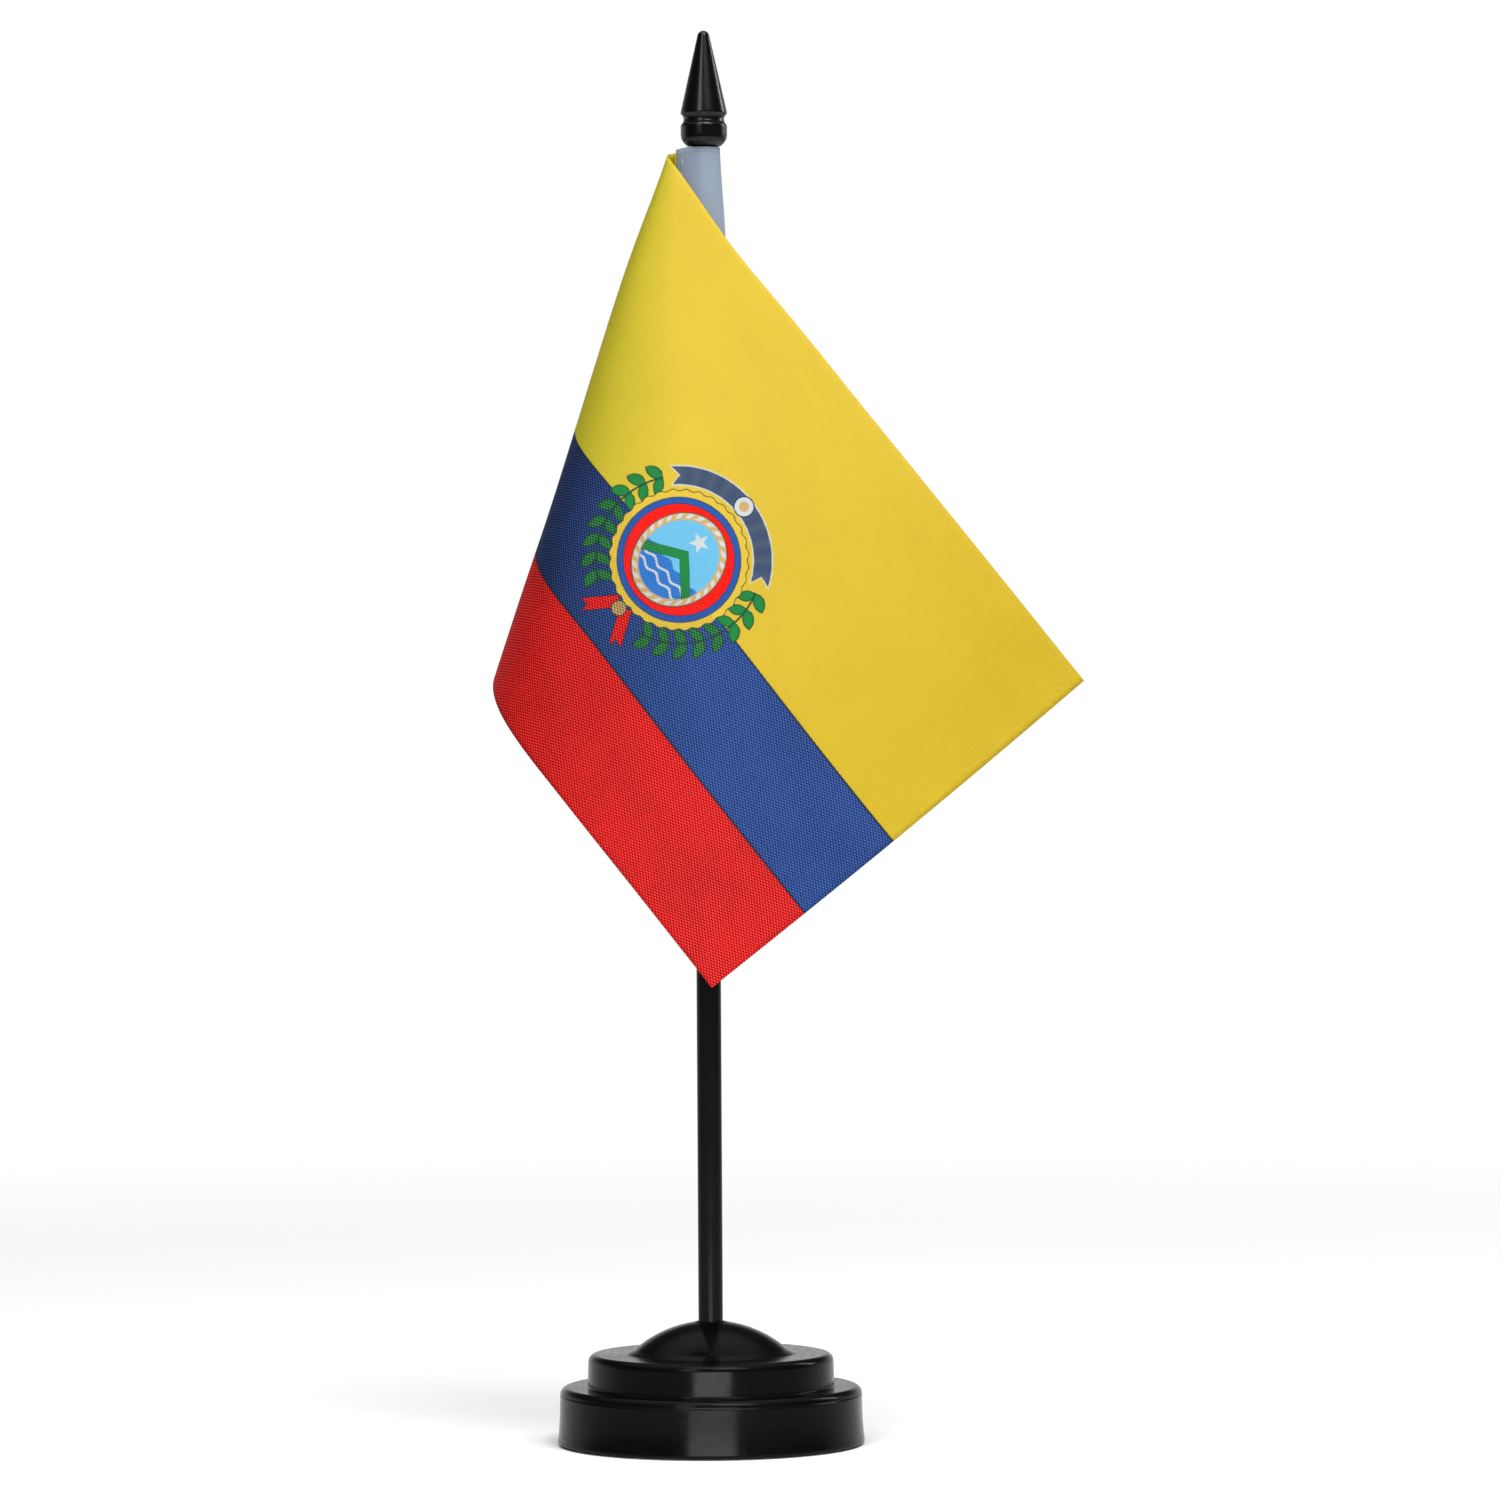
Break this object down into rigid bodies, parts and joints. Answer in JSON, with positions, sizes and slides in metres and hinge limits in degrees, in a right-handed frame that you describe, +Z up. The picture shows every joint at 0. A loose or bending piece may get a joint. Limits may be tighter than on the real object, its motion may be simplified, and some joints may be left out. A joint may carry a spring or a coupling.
{
  "type": "desk flag stand",
  "caption": "Small printed flag on a slim upright pole with a spear finial, standing in a round two-tier weighted base.",
  "frame": {"origin": "centre of the foot pad's underside, on the pole's axis", "axes": "+Z up along the pole, +X towards the flag's free corner, +Y away from the viewer of its printed front"},
  "size_m": [0.1241, 0.0652, 0.3],
  "materials": {
    "base_plastic": "polished black moulding",
    "ballast_iron": "rough casting",
    "cover_plastic": "fine matt black",
    "pad_foam": "closed-cell foam, matt black",
    "pole_plastic": "satin black",
    "finial_plastic": "gloss black",
    "sleeve_cloth": "plain polyester, unprinted",
    "flag_cloth": "printed polyester, plain weave"
  },
  "bodies": {
    "base": {"base_shell": "base_plastic", "base_weight": "ballast_iron", "base_bottom_cover": "cover_plastic", "foot_pad": "pad_foam"},
    "pole": {"pole": "pole_plastic"},
    "finial": {"finial": "finial_plastic"},
    "flag": {"pole_sleeve": "sleeve_cloth", "flag_field": "flag_cloth"}
  },
  "joints": [
    {"name": "pole_lift", "type": "slide", "parent": "base", "child": "pole", "axis": [0, 0, 1], "range_m": [0, 0.024]},
    {"name": "finial_lift", "type": "slide", "parent": "pole", "child": "finial", "axis": [0, 0, 1], "range_m": [0, 0.014]},
    {"name": "flag_turn", "type": "hinge", "parent": "pole", "child": "flag", "pos_m": [0, 0, 0.2243], "axis": [0, 0, 1], "continuous": true}
  ]
}
